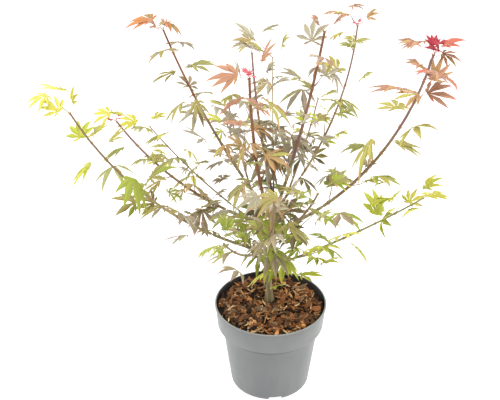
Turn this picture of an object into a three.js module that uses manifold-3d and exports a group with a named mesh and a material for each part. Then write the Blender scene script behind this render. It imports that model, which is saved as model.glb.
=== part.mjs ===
// A young Japanese maple with several shoots, growing in a round nursery pot.
// Lengths are in millimetres and angles in degrees. +Z is up, the pot stands on z = 0 with its
// axis on the Z axis, and -Y is the front. An azimuth turns from +X towards +Y.
import * as THREE from 'three';
import { mergeVertices } from 'three/addons/utils/BufferGeometryUtils.js';
import Module from 'manifold-3d';

const wasm = await Module();
wasm.setup();

// Pot: a moulded 3 litre nursery pot with a deep collar under its rim
const POT_HEIGHT = 160;
const RIM_RADIUS = 95;
const COLLAR_RADIUS = 90.5;
const COLLAR_BOTTOM = 119;
const BODY_TOP_RADIUS = 82.5;
const FOOT_RADIUS = 67.5;
const FOOT_ROUNDING = 4;
const POT_WALL = 1.6;
const POT_FLOOR = 2;
const LIP_WIDTH = 2.6;
const LIP_HEIGHT = 3;
const LIP_OVERHANG = 1.2;
const LIP_ROUNDING = 0.8;
const POT_SIDES = 32;
const NOTCH_WIDTH = 19;
const NOTCH_HEIGHT = 6.5;
const NOTCH_DEPTH = 14;
const NOTCH_COUNT = 4;
const NOTCH_TURN = -83;

// Filling: potting soil, and a layer of bark mulch with an uneven top
const SOIL_TOP = 136;
const MULCH_EDGE = 147.5;
const MULCH_CROWNING = 5;
const MULCH_BUMP = 2.2;
const MULCH_RINGS = 4;
const MULCH_SEED = 3;

// Seeded chance: how a seed starts it, and how each number follows from the last
const DICE_START = [7919, 13];
const DICE_STEP = [1664525, 1013904223];
const DICE_RANGE = 2 ** 32;
const DICE_WARM_UP = 3;

// Space left between one piece and the next, and round a leaf
const JOINT_GAP = 0.3;
const LEAF_CLEARANCE = 0.6;
const ROOT_SEARCH = 1;
const MERGE_WITHIN = 1e-4;

// Trunk: points of its centreline from the soil to the fork, each with the radius there
const TRUNK = [
  [-2, 6, 136, 9.6],
  [-2, 6, 146, 8.6],
  [-2.2, 5.6, 158, 7.6],
  [-2.4, 5.2, 172, 6.5],
  [-2.7, 4.6, 190, 5.4],
  [-3, 4, 215, 4.6],
  [-3, 3, 246, 4.2],
  [-3, 2, 278, 3.9],
  [0, 1, 304, 3.6],
  [4, 0, 330, 3.2],
  [5, 1, 352, 2.9],
];
const TRUNK_SIDES = 12;
const FOOT_TRIM = 5;
const FLARE_LOBES = 4;
const FLARE_DEPTH = 0.14;
const FLARE_TOP = 190;
const SEAM_BEARING = 53.13;

// Shoots: their thickness at the foot and at the tip, and how finely they are made
const SHOOT_STEPS = 16;
const SHOOT_RADII = [2.4, 1.5];
const TWIG_RADII = [1.5, 1.0];
const BOUGH_SIDES = 5;
const BOUGH_RINGS = 3;
const BOUGH_SHORTEST = 15;
const STEM_SIDES = 4;
const STEM_RINGS = 8;
const TWIG_RINGS = 4;
const TWIG_LENGTH_LIMIT = 160;

// Side twigs: thickness, and how they spread from the stem
const FORK_RADII = [1.1, 1.1, 0.8];
const FORK_SIDES = 4;
const FORK_SEED_STEP = 500;
const FORK_SPIN = [60, 120];
const FORK_LENGTH = [0.9, 1.4];
const FORK_LEAF_SHARE = 0.8;
const FORK_YOUTH = 0.2;
const FORK_AHEAD = 0.8;
const FORK_RISE = [0.25, 0.3];

// Pairs of leaves: how far they wander along and round the stem, and how the young ones differ
const PAIR_START = 0.02;
const PAIR_WANDER = 0.2;
const PAIR_TURN = 90;
const PAIR_TWIST = 15;
const YOUNG_PAIRS = 3;
const YOUNG_SHRINK = 0.25;
const YOUNG_LIFT = 45;

// Leaf: its lobes and the bays between them, from the middle lobe round to the stalk, each with a
// bearing from the middle rib and a reach as a share of the leaf's length
const LEAF_OUTLINE = [
  [0, 1.0],
  [18, 0.38],
  [37, 0.92],
  [55, 0.35],
  [74, 0.68],
  [104, 0.26],
];
const LEAF_ARCH = 0.13;
const LEAF_SIZES = [0.8, 1.2];
const LEAF_SWING = 35;
const LEAF_DROOP = [-10, 50];
const LEAF_ROLL = 38;
const STALK_RADIUS = 0.65;
const STALK_LENGTHS = [0.5, 0.85];
const STALK_AHEAD = [0.3, 0.8];
const STALK_RISE = 0.25;
const BLADE_START = 0.6;
const LEAF_FLOOR = POT_HEIGHT + 4;
const LEAF_REACH = 115;

// Each shoot leaves the trunk at a height and azimuth. Along its length it turns sideways by turn,
// and its slope goes from rise to rise + lift. It is a bare bough up to the share named bare, and
// carries pairs of leaves from there to its tip. forks names the pairs that have a side twig.
const SHOOTS = [
  { name: 'left_low', height: 257, azimuth: -166, turn: 0, rise: 22, lift: 43, length: 423,
    bare: 0.26, pairs: 7, leaf: 49, forks: [], seed: 369, tint: 0xa9b52c },
  { name: 'left_mid', height: 307, azimuth: 168, turn: 2, rise: 12, lift: 43, length: 308,
    bare: 0.26, pairs: 6, leaf: 45, forks: [], seed: 838, tint: 0x9dad38 },
  { name: 'left_back', height: 296, azimuth: 144, turn: 0, rise: 15, lift: 21, length: 282,
    bare: 0.3, pairs: 5, leaf: 42, forks: [], seed: 974, tint: 0xa3b03e },
  { name: 'left_high', height: 323, azimuth: 154, turn: -3, rise: 47, lift: 18, length: 348,
    bare: 0.24, pairs: 7, leaf: 46, forks: [0], seed: 601, tint: 0x8c8350 },
  { name: 'front_upright', height: 314, azimuth: -109, turn: 1, rise: 53, lift: 31, length: 324,
    bare: 0.24, pairs: 6, leaf: 50, forks: [0], seed: 657, tint: 0xa07c4c },
  { name: 'leader', height: 352, azimuth: 160, turn: 0, rise: 76, lift: 10, length: 253,
    bare: 0.22, pairs: 5, leaf: 44, forks: [0, 1], seed: 659, tint: 0x857c58 },
  { name: 'right_steep', height: 332, azimuth: -40, turn: 0, rise: 71, lift: 9, length: 338,
    bare: 0.22, pairs: 6, leaf: 44, forks: [0], seed: 947, tint: 0x84794f },
  { name: 'right_high', height: 339, azimuth: 44, turn: -4, rise: 27, lift: 59, length: 335,
    bare: 0.22, pairs: 6, leaf: 44, forks: [0, 1], seed: 165, tint: 0x8f9045 },
  { name: 'right_mid', height: 297, azimuth: -19, turn: 7, rise: 31, lift: 48, length: 416,
    bare: 0.26, pairs: 8, leaf: 50, forks: [], seed: 457, tint: 0xb0703c },
  { name: 'right_low', height: 227, azimuth: 10, turn: 0, rise: 16, lift: 13, length: 281,
    bare: 0.26, pairs: 5, leaf: 45, forks: [], seed: 469, tint: 0x98b236 },
  { name: 'front_mid', height: 288, azimuth: -90, turn: 0, rise: 25, lift: 35, length: 262,
    bare: 0.26, pairs: 4, leaf: 46, forks: [], seed: 255, tint: 0x7d8248 },
  { name: 'front_left', height: 268, azimuth: -110, turn: 0, rise: 17, lift: 30, length: 240,
    bare: 0.26, pairs: 4, leaf: 46, forks: [], seed: 833, tint: 0x7d9440 },
  { name: 'front_right', height: 302, azimuth: -68, turn: 0, rise: 28, lift: 30, length: 225,
    bare: 0.26, pairs: 4, leaf: 46, forks: [], seed: 784, tint: 0x828a46 },
  { name: 'back_right', height: 303, azimuth: 68, turn: 0, rise: 17, lift: 30, length: 268,
    bare: 0.26, pairs: 4, leaf: 46, forks: [], seed: 605, tint: 0x8a8c4a },
  { name: 'back_left', height: 283, azimuth: 108, turn: 0, rise: 17, lift: 30, length: 267,
    bare: 0.26, pairs: 4, leaf: 46, forks: [], seed: 584, tint: 0x87914a },
  { name: 'back_mid', height: 328, azimuth: 90, turn: 0, rise: 26, lift: 30, length: 290,
    bare: 0.26, pairs: 4, leaf: 46, forks: [], seed: 435, tint: 0x8a7c4c },
  { name: 'right_front', height: 246, azimuth: -47, turn: 0, rise: 20, lift: 25, length: 150,
    bare: 0.3, pairs: 3, leaf: 46, forks: [], seed: 266, tint: 0x7ea23a },
  { name: 'front_low', height: 234, azimuth: -72, turn: 0, rise: 12, lift: 15, length: 78,
    bare: 0.3, pairs: 2, leaf: 40, forks: [], seed: 103, tint: 0x74a834 },
  { name: 'left_foot', height: 227, azimuth: -134, turn: 0, rise: 47, lift: 14, length: 128,
    bare: 0.35, pairs: 3, leaf: 42, forks: [], seed: 394, tint: 0x78a038 },
  { name: 'inner_left', height: 243, azimuth: 175, turn: 0, rise: 25, lift: 20, length: 95,
    bare: 0.1, pairs: 2, leaf: 44, forks: [], seed: 555, tint: 0x7f9a3c },
  { name: 'inner_right', height: 268, azimuth: 5, turn: 0, rise: 30, lift: 20, length: 95,
    bare: 0.1, pairs: 2, leaf: 44, forks: [], seed: 944, tint: 0x74953c },
  { name: 'inner_back', height: 250, azimuth: 85, turn: 0, rise: 25, lift: 20, length: 110,
    bare: 0.1, pairs: 3, leaf: 44, forks: [], seed: 580, tint: 0x74903e },
];

const UP = new THREE.Vector3(0, 0, 1);
const radians = THREE.MathUtils.degToRad;
const mix = THREE.MathUtils.lerp;

// Seeded chance: each call of the returned function gives a number from low to high
function dice(seed) {
  let state = seed * DICE_START[0] + DICE_START[1];
  const roll = (low, high) => {
    state = (state * DICE_STEP[0] + DICE_STEP[1]) % DICE_RANGE;
    return low + ((high - low) * state) / DICE_RANGE;
  };
  for (let warm = 0; warm < DICE_WARM_UP; warm += 1) roll(0, 1);
  return roll;
}

function solid(geometry) {
  const bare = geometry.clone();
  bare.deleteAttribute('normal');
  bare.deleteAttribute('uv');
  const merged = mergeVertices(bare, MERGE_WITHIN);
  const vertProperties = new Float32Array(merged.attributes.position.array);
  const triVerts = new Uint32Array(merged.index.array);
  return new wasm.Manifold(new wasm.Mesh({ numProp: 3, vertProperties, triVerts }));
}

// The largest body of a solid, as a mesh of its own
function piece(name, shape, colour, roughness) {
  const bodies = shape.decompose().sort((a, b) => b.volume() - a.volume());
  const mesh = bodies[0].getMesh();
  const geometry = new THREE.BufferGeometry();
  geometry.setAttribute('position', new THREE.BufferAttribute(mesh.vertProperties, 3));
  geometry.setIndex(new THREE.BufferAttribute(mesh.triVerts, 1));
  geometry.computeVertexNormals();
  const finish = new THREE.MeshStandardMaterial({ color: colour, roughness, metalness: 0 });
  const result = new THREE.Mesh(geometry, finish);
  result.name = name;
  return result;
}

function turnedProfile(points) {
  const outline = points.map(([radius, height]) => new THREE.Vector2(radius, height));
  const lathe = new THREE.LatheGeometry(outline, POT_SIDES);
  return solid(lathe.rotateX(Math.PI / 2));
}

// Radius of the pot's inner face at a height above its floor
function innerRadius(height) {
  if (height < COLLAR_BOTTOM) {
    return mix(FOOT_RADIUS, BODY_TOP_RADIUS, height / COLLAR_BOTTOM) - POT_WALL;
  }
  const share = (height - COLLAR_BOTTOM) / (POT_HEIGHT - COLLAR_BOTTOM);
  return mix(COLLAR_RADIUS, RIM_RADIUS - LIP_WIDTH + POT_WALL, share) - POT_WALL;
}

function pot() {
  const lipBottom = POT_HEIGHT - LIP_HEIGHT;
  const ledge = COLLAR_BOTTOM + POT_WALL;
  const rounding = FOOT_ROUNDING / 3;
  let body = turnedProfile([
    [0, 0],
    [FOOT_RADIUS - FOOT_ROUNDING, 0],
    [FOOT_RADIUS - rounding, rounding],
    [mix(FOOT_RADIUS, BODY_TOP_RADIUS, FOOT_ROUNDING / COLLAR_BOTTOM), FOOT_ROUNDING],
    [BODY_TOP_RADIUS, COLLAR_BOTTOM],
    [COLLAR_RADIUS, COLLAR_BOTTOM],
    [RIM_RADIUS - LIP_OVERHANG, lipBottom],
    [RIM_RADIUS, lipBottom + LIP_ROUNDING],
    [RIM_RADIUS, POT_HEIGHT - LIP_ROUNDING],
    [RIM_RADIUS - LIP_ROUNDING, POT_HEIGHT],
    [RIM_RADIUS - LIP_WIDTH, POT_HEIGHT],
    [innerRadius(POT_HEIGHT), lipBottom],
    [innerRadius(ledge), ledge],
    [BODY_TOP_RADIUS - POT_WALL, ledge],
    [innerRadius(POT_FLOOR), POT_FLOOR],
    [0, POT_FLOOR],
  ]);
  for (let k = 0; k < NOTCH_COUNT; k += 1) {
    const notch = new THREE.BoxGeometry(2 * NOTCH_DEPTH, NOTCH_WIDTH, 2 * NOTCH_HEIGHT);
    notch.translate(FOOT_RADIUS, 0, 0);
    notch.rotateZ(radians(NOTCH_TURN + (360 / NOTCH_COUNT) * k));
    body = body.subtract(solid(notch));
  }
  return body;
}

function pottingSoil() {
  const bottom = POT_FLOOR + JOINT_GAP;
  const ledge = COLLAR_BOTTOM + POT_WALL + JOINT_GAP;
  return turnedProfile([
    [0, bottom],
    [innerRadius(bottom) - JOINT_GAP, bottom],
    [BODY_TOP_RADIUS - POT_WALL - JOINT_GAP, ledge],
    [innerRadius(ledge) - JOINT_GAP, ledge],
    [innerRadius(SOIL_TOP) - JOINT_GAP, SOIL_TOP],
    [0, SOIL_TOP],
  ]);
}

// A layer that fills the collar, highest in the middle, with a bump at each point of its top
function barkMulch() {
  const roll = dice(MULCH_SEED);
  const bottom = SOIL_TOP + JOINT_GAP;
  const profile = [[0, bottom]];
  profile.push([innerRadius(SOIL_TOP) - JOINT_GAP, bottom]);
  const edge = innerRadius(MULCH_EDGE - MULCH_BUMP) - JOINT_GAP;
  for (let ring = MULCH_RINGS; ring >= 0; ring -= 1) {
    const share = ring / MULCH_RINGS;
    profile.push([edge * share, MULCH_EDGE + MULCH_CROWNING * (1 - share * share)]);
  }
  const outline = profile.map(([radius, height]) => new THREE.Vector2(radius, height));
  const lathe = new THREE.LatheGeometry(outline, POT_SIDES);
  lathe.deleteAttribute('normal');
  lathe.deleteAttribute('uv');
  const layer = mergeVertices(lathe.rotateX(Math.PI / 2), MERGE_WITHIN);
  const spots = layer.attributes.position;
  for (let i = 0; i < spots.count; i += 1) {
    const bump = roll(-MULCH_BUMP, MULCH_BUMP);
    if (spots.getZ(i) > bottom + MULCH_BUMP) spots.setZ(i, spots.getZ(i) + bump);
  }
  return solid(layer);
}

// A tapering limb: a cylinder bent along a line of points, with a radius for each point. swell gives
// how much wider it is at a point and a bearing round it.
function limb(line, radii, sides, swell = () => 1) {
  const last = line.length - 1;
  const bar = new THREE.CylinderGeometry(1, 1, 1, sides, last);
  const headings = line.map((point, i) => {
    const ahead = line[Math.min(i + 1, last)].clone();
    return ahead.sub(line[Math.max(i - 1, 0)]).normalize();
  });
  const sideways = [];
  let across = aim(SEAM_BEARING, 0).cross(headings[0]);
  for (const heading of headings) {
    across = across.clone().addScaledVector(heading, -across.dot(heading)).normalize();
    sideways.push(across);
  }
  const spots = bar.attributes.position;
  const spot = new THREE.Vector3();
  for (let i = 0; i < spots.count; i += 1) {
    spot.fromBufferAttribute(spots, i);
    const ring = Math.round((spot.y + 0.5) * last);
    const radius = radii[ring] * swell(line[ring], Math.atan2(spot.z, spot.x));
    const over = sideways[ring].clone().cross(headings[ring]);
    const place = line[ring].clone().addScaledVector(sideways[ring], spot.x * radius);
    place.addScaledVector(over, spot.z * radius);
    spots.setXYZ(i, place.x, place.y, place.z);
  }
  return solid(bar);
}

function flare(point, bearing) {
  const share = Math.max(0, (FLARE_TOP - point.z) / (FLARE_TOP - SOIL_TOP));
  return 1 + FLARE_DEPTH * share * Math.cos(FLARE_LOBES * bearing);
}

// The trunk, or with a margin the room that it takes up. Its foot is cut level just above the soil.
function trunk(margin) {
  const line = TRUNK.map(([x, y, z]) => new THREE.Vector3(x, y, z));
  const radii = TRUNK.map((row) => row[3] + margin);
  line[0].z -= FOOT_TRIM;
  line[line.length - 1].z += margin;
  const stem = limb(line, radii, TRUNK_SIDES, flare);
  const below = new THREE.BoxGeometry(RIM_RADIUS, RIM_RADIUS, 2 * SOIL_TOP);
  below.translate(0, 0, JOINT_GAP - margin);
  return stem.subtract(solid(below));
}

function trunkAt(height) {
  const next = TRUNK.findIndex((row) => row[2] >= height);
  const [low, high] = [TRUNK[Math.max(next - 1, 0)], TRUNK[next]];
  const share = (height - low[2]) / (high[2] - low[2]);
  return new THREE.Vector3(mix(low[0], high[0], share), mix(low[1], high[1], share), height);
}

function aim(azimuth, rise) {
  const [a, e] = [radians(azimuth), radians(rise)];
  return new THREE.Vector3(Math.cos(e) * Math.cos(a), Math.cos(e) * Math.sin(a), Math.sin(e));
}

function isLong(shoot) {
  return shoot.length > TWIG_LENGTH_LIMIT;
}

function shootLine(shoot) {
  const points = [trunkAt(shoot.height)];
  for (let i = 0; i < SHOOT_STEPS; i += 1) {
    const t = (i + 0.5) / SHOOT_STEPS;
    const heading = aim(shoot.azimuth + shoot.turn * t, shoot.rise + shoot.lift * t);
    points.push(points[i].clone().addScaledVector(heading, shoot.length / SHOOT_STEPS));
  }
  return points;
}

// Point and heading at a share of a line's length
function along(points, share) {
  const place = THREE.MathUtils.clamp(share, 0, 1) * (points.length - 1);
  const i = Math.min(Math.floor(place), points.length - 2);
  const heading = points[i + 1].clone().sub(points[i]);
  const point = points[i].clone().addScaledVector(heading, place - i);
  return { point, heading: heading.normalize() };
}

// The part of a shoot from one share of its length to another
function stretch(shoot, from, to, rings, sides) {
  const points = shootLine(shoot);
  const thick = isLong(shoot) ? SHOOT_RADII : TWIG_RADII;
  const shares = Array.from({ length: rings + 1 }, (_, i) => mix(from, to, i / rings));
  const line = shares.map((share) => along(points, share).point);
  return limb(line, shares.map((share) => mix(thick[0], thick[1], share)), sides);
}

// One leaf of a pair, worked out from its joint on a stem, the stem's heading and the leaf's side
function leafPlan(roll, joint, heading, side, size, youth) {
  const length = size * roll(...LEAF_SIZES);
  const stalk = length * roll(...STALK_LENGTHS);
  const out = side.clone().addScaledVector(heading, roll(...STALK_AHEAD));
  out.addScaledVector(UP, STALK_RISE).normalize();
  const end = joint.clone().addScaledVector(out, stalk);
  const ahead = new THREE.Vector3(out.x, out.y, 0).normalize();
  ahead.applyAxisAngle(UP, radians(roll(-LEAF_SWING, LEAF_SWING)));
  const droop = radians(roll(...LEAF_DROOP) - YOUNG_LIFT * youth);
  const rib = ahead.multiplyScalar(Math.cos(droop)).addScaledVector(UP, -Math.sin(droop));
  const face = UP.clone().addScaledVector(rib, -rib.z).normalize();
  face.applyAxisAngle(rib, radians(roll(-LEAF_ROLL, LEAF_ROLL)));
  return { joint, end, rib, face, length };
}

// The two leaves at a joint, one on each side of the stem
function leafPair(roll, joint, heading, spin, size, youth) {
  const across = heading.clone().cross(UP).normalize();
  return [spin, spin + 180].map((turn) => {
    const side = across.clone().applyAxisAngle(heading, radians(turn));
    return leafPlan(roll, joint, heading, side, size, youth);
  });
}

// Where the leaves and side twigs of a shoot grow: pairs along its stem, each square to the last
function growth(shoot) {
  const roll = dice(shoot.seed);
  const points = shootLine(shoot);
  const leaves = [];
  const twigs = [];
  let spin = roll(0, 180);
  for (let k = 0; k < shoot.pairs; k += 1) {
    const atTip = k === shoot.pairs - 1;
    const wander = atTip ? 0 : PAIR_WANDER + roll(-PAIR_WANDER, PAIR_WANDER);
    const place = (k + wander) / (shoot.pairs - 1 + PAIR_WANDER);
    const first = shoot.bare + PAIR_START;
    const { point, heading } = along(points, atTip ? 1 : mix(first, 1, place));
    spin += PAIR_TURN + roll(-PAIR_TWIST, PAIR_TWIST);
    const fromTip = shoot.pairs - 1 - k;
    const young = isLong(shoot) ? Math.max(0, 1 - fromTip / YOUNG_PAIRS) : 0;
    const size = shoot.leaf * (1 - YOUNG_SHRINK * young);
    leaves.push(...leafPair(roll, point, heading, spin, size, young));
    if (shoot.forks.includes(k)) {
      const twig = sideTwig(shoot, k, point, heading, spin);
      twigs.push(twig.line);
      leaves.push(...twig.leaves);
    }
  }
  return { leaves, twigs };
}

// A side twig from a joint of the stem, with a pair of leaves at its tip
function sideTwig(shoot, k, point, heading, spin) {
  const roll = dice(shoot.seed + FORK_SEED_STEP + k);
  const across = heading.clone().cross(UP).normalize();
  const side = across.applyAxisAngle(heading, radians(spin + roll(...FORK_SPIN)));
  const start = side.addScaledVector(heading, FORK_AHEAD).addScaledVector(UP, FORK_RISE[0]);
  start.normalize();
  const half = (shoot.leaf * roll(...FORK_LENGTH)) / 2;
  const finish = start.clone().addScaledVector(UP, FORK_RISE[1]).normalize();
  const middle = point.clone().addScaledVector(start, half);
  const tip = middle.clone().addScaledVector(finish, half);
  const size = shoot.leaf * FORK_LEAF_SHARE;
  const leaves = leafPair(roll, tip, finish, roll(0, 180), size, FORK_YOUTH);
  return { line: [point, middle, tip], leaves };
}

// A leaf on its stalk, one closed form: a star with a point for each lobe, thickest at the palm,
// where a stalk of four edges comes in from the joint
function leafSolid(plan, joint) {
  const out = plan.end.clone().sub(plan.joint).normalize();
  const between = plan.rib.clone().add(out).normalize();
  const over = plan.face.clone().addScaledVector(between, -plan.face.dot(between)).normalize();
  const edge = over.clone().cross(between);
  const wing = plan.face.clone().cross(plan.rib);
  const quad = (centre) => [
    centre.clone().addScaledVector(edge, -STALK_RADIUS),
    centre.clone().addScaledVector(edge, STALK_RADIUS),
    centre.clone().addScaledVector(over, STALK_RADIUS),
    centre.clone().addScaledVector(over, -STALK_RADIUS),
  ];
  const [left, right, top, bottom] = quad(plan.end);
  const lobes = LEAF_OUTLINE.length;
  const outline = [left];
  for (let step = 1 - lobes; step < lobes; step += 1) {
    const [angle, reach] = LEAF_OUTLINE[Math.abs(step)];
    const bearing = Math.sign(step) * radians(angle);
    const place = plan.end.clone();
    place.addScaledVector(plan.rib, plan.length * reach * Math.cos(bearing));
    place.addScaledVector(wing, plan.length * reach * Math.sin(bearing));
    const drop = step % 2 === 0 ? LEAF_ARCH * reach * reach : 0;
    outline.push(place.addScaledVector(plan.face, -plan.length * drop));
  }
  outline.push(right);
  const corners = [];
  for (let i = 0; i + 1 < outline.length; i += 1) {
    corners.push(top, outline[i], outline[i + 1], bottom, outline[i + 1], outline[i]);
  }
  const [jointLeft, jointRight, jointTop, jointBottom] = quad(joint);
  corners.push(left, top, jointTop, left, jointTop, jointLeft);
  corners.push(top, right, jointRight, top, jointRight, jointTop);
  corners.push(bottom, left, jointLeft, bottom, jointLeft, jointBottom);
  corners.push(right, bottom, jointBottom, right, jointBottom, jointRight);
  corners.push(jointLeft, jointTop, jointRight, jointLeft, jointRight, jointBottom);
  return solid(new THREE.BufferGeometry().setFromPoints(corners));
}

function boxesMeet(a, b, margin) {
  return [0, 1, 2].every((i) => a.min[i] - margin < b.max[i] && b.min[i] - margin < a.max[i]);
}

// Whether a solid keeps its clearance to all of a list of solids
function isClear(shape, others, margin) {
  const box = shape.boundingBox();
  return others.every((other) => {
    if (!boxesMeet(box, other.boundingBox(), margin)) return true;
    return shape.minGap(other, margin) >= margin;
  });
}

// Whether a leaf stays above the rim and within reach of its own joint
function staysInSpace(plan) {
  const low = Math.min(plan.end.z, plan.end.z + plan.length * (plan.rib.z - LEAF_ARCH));
  const tip = plan.end.clone().addScaledVector(plan.rib, plan.length);
  return low > LEAF_FLOOR && tip.distanceTo(plan.joint) < LEAF_REACH;
}

const plant = new THREE.Group();
const trunkRoom = trunk(JOINT_GAP);
const filledPot = [pot(), pottingSoil()];
const mulch = barkMulch().subtract(trunkRoom);
plant.add(piece('pot', filledPot[0], 0x9a9b9a, 0.5));
plant.add(piece('potting_soil', filledPot[1], 0x2c211a, 1));
plant.add(piece('bark_mulch', mulch, 0x654831, 0.95));
const trunkSolid = trunk(0);
plant.add(piece('trunk', trunkSolid, 0x726840, 0.85));

const boughs = new Map();
const stems = new Map();
for (const shoot of SHOOTS) {
  const hasBough = shoot.bare * shoot.length > BOUGH_SHORTEST;
  const rings = isLong(shoot) ? STEM_RINGS : TWIG_RINGS;
  if (hasBough) {
    const bough = stretch(shoot, 0, shoot.bare, BOUGH_RINGS, BOUGH_SIDES);
    boughs.set(shoot, bough.subtract(trunkRoom));
  }
  const from = hasBough ? shoot.bare + JOINT_GAP / shoot.length : 0;
  stems.set(shoot, stretch(shoot, from, 1, rings, STEM_SIDES).subtract(trunkRoom));
}
const limbs = [...filledPot, mulch, trunkSolid, ...boughs.values(), ...stems.values()];

// A leaf or side twig is left out where it would leave the shoot's space or touch something else
const foliage = [];
for (const shoot of SHOOTS) {
  const stem = stems.get(shoot);
  const { leaves, twigs } = growth(shoot);
  const others = [...limbs.filter((one) => one !== stem), ...foliage];
  const own = [stem];
  for (const line of twigs) {
    const twig = limb(line, FORK_RADII, FORK_SIDES);
    if (isClear(twig, others, LEAF_CLEARANCE)) own.push(twig);
  }
  for (const plan of leaves) {
    const leaf = leafSolid(plan, plan.joint);
    const rooted = own.some((one) => one.minGap(leaf, ROOT_SEARCH) === 0);
    const blade = leafSolid(plan, plan.joint.clone().lerp(plan.end, BLADE_START));
    const clear = isClear(blade, [stem], LEAF_CLEARANCE) && isClear(leaf, others, LEAF_CLEARANCE);
    if (rooted && clear && staysInSpace(plan)) own.push(leaf);
  }
  const mass = wasm.Manifold.union(own);
  foliage.push(mass);
  if (boughs.has(shoot)) {
    plant.add(piece(`bough_${shoot.name}`, boughs.get(shoot), 0x6b4a34, 0.8));
  }
  plant.add(piece(`foliage_${shoot.name}`, mass, shoot.tint, 0.7));
}

export default plant;
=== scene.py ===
"""A young Japanese maple in a round nursery pot: the looks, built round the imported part.

Everything is in metres and in the part's own frame: +Z is up, the pot stands on z = 0 with its
axis on the Z axis, and -Y is the front. An azimuth turns from +X towards +Y.
"""
import math
from collections import namedtuple

import bpy
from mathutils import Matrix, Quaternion, Vector


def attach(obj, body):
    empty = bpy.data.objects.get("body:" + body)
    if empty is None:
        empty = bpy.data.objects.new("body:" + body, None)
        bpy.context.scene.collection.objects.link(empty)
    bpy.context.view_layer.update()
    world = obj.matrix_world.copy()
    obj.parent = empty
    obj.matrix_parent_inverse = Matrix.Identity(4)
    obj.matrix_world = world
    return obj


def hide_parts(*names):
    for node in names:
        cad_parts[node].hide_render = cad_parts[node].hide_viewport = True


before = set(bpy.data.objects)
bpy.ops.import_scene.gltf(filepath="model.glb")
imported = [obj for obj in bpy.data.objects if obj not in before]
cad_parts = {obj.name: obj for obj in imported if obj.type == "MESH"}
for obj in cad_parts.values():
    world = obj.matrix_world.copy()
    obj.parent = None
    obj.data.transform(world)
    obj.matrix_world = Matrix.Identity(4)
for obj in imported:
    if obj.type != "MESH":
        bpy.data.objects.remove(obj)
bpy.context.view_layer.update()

MM = 0.001
UP = Vector((0, 0, 1))

# Pot, as in the part's source
POT_HEIGHT = 160 * MM
RIM_RADIUS = 95 * MM
COLLAR_RADIUS = 90.5 * MM
COLLAR_BOTTOM = 119 * MM
BODY_TOP_RADIUS = 82.5 * MM
FOOT_RADIUS = 67.5 * MM
FOOT_ROUNDING = 4 * MM
POT_WALL = 1.6 * MM
BASE_LIFT = 7.6 * MM
WALL_RINGS = (FOOT_ROUNDING, 9 * MM, 12 * MM, 40 * MM, 70 * MM, 100 * MM)
LIP_WIDTH = 2.6 * MM
LIP_HEIGHT = 3 * MM
LIP_OVERHANG = 1.2 * MM
POT_SIDES = 96
NOTCH_WIDTH = 23 * MM
NOTCH_HEIGHT = 7 * MM
NOTCH_DEPTH = 14 * MM
NOTCH_COUNT = 4
NOTCH_TURN = -82.5

# Finer forms of the pot: the ring it stands on, the crease under the collar, and the roundings.
# A bevel or a dip has a width and a height, the foot's arc has degrees, and the lip's corner goes
# up by pairs of an inset from the rim and a depth below the top
FOOT_RING = 6 * MM
FOOT_RING_SLANT = 1 * MM
FOOT_RING_BEVEL = (0.8 * MM, 0.5 * MM)
FOOT_ARC = (30, 60)
CREASE_DIP = (0.3 * MM, 3 * MM)
CREASE_FILLET = 0.8 * MM
# How far down the wall under the collar the painted shade of the crease reaches
CREASE_SHADE_REACH = 12 * MM
COLLAR_BEVEL = (1.2 * MM, 1.6 * MM)
LIP_STEP = 0.6 * MM
LIP_CORNER = ((0, 1.1 * MM), (0.3 * MM, 0.4 * MM), (1.0 * MM, 0))
NOTCH_ROUNDING = 1.8 * MM
NOTCH_ARC_STEPS = 3
INSIDE_MARGIN = 0.1 * MM
FACING_UP = 0.9
SMOOTH_ANGLE = math.radians(32)

# Filling: soil, the bed of bark mulch, the play round both, and the loose chips on the bed
SOIL_TOP = 136 * MM
FLOOR_PLAY = 0.3 * MM
WALL_PLAY = 0.4 * MM
LEDGE_PLAY = 0.2 * MM
MULCH_EDGE = 151.5 * MM
MULCH_CROWNING = 3 * MM
MULCH_PLAY = 0.3 * MM
MULCH_RINGS = 14
MULCH_SINK = 2.5 * MM
MULCH_SKIRT = 2 * MM
MULCH_BORDER = 1 * MM
MULCH_RELIEF = (9 * MM, 5 * MM)
CHIP_SEED = 41
CHIP_TIP = 28
CHIP_TILT = 40
CHIP_WANDER = (-0.35, 0.35)
CHIP_RAGGED = (0.72, 1.05)
CHIP_CURL = 0.03
CHIP_UNEVEN = 0.15
CHIP_UNDERCUT = 0.85
CHIP_EDGE_CHANCE = 0.45

# Trunk: points of its centreline from the soil to the fork, each with the radius there
TRUNK = [
    (-2, 6, 136, 9.2),
    (-2, 6, 146, 7.4),
    (-2.1, 5.8, 153, 6.7),
    (-2.2, 5.6, 157, 7.0),
    (-2.3, 5.5, 161, 8.1),
    (-2.3, 5.4, 165, 8.0),
    (-2.4, 5.2, 169, 6.9),
    (-2.5, 5.0, 178, 6.2),
    (-2.7, 4.6, 190, 5.4),
    (-3, 4, 215, 4.7),
    (-3, 3, 246, 4.2),
    (-3, 2, 278, 3.9),
    (0, 1, 304, 3.6),
    (4, 0, 330, 3.2),
    (5, 1, 352, 2.9),
]
TRUNK_SIDES = 16
TRUNK_SMOOTHING = 3

# Root flare: the roots' bearings, how far they reach and spread, and the share of that reach from
# one height to the next
FLARE_BEARINGS = (20, 115, 205, 290)
FLARE_REACH = 1.5 * MM
FLARE_SPREAD = 24
FLARE_STEPS = ((0, 140 * MM, 1.0), (140 * MM, 150 * MM, 0.6), (150 * MM, 154 * MM, 0.3))

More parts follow.
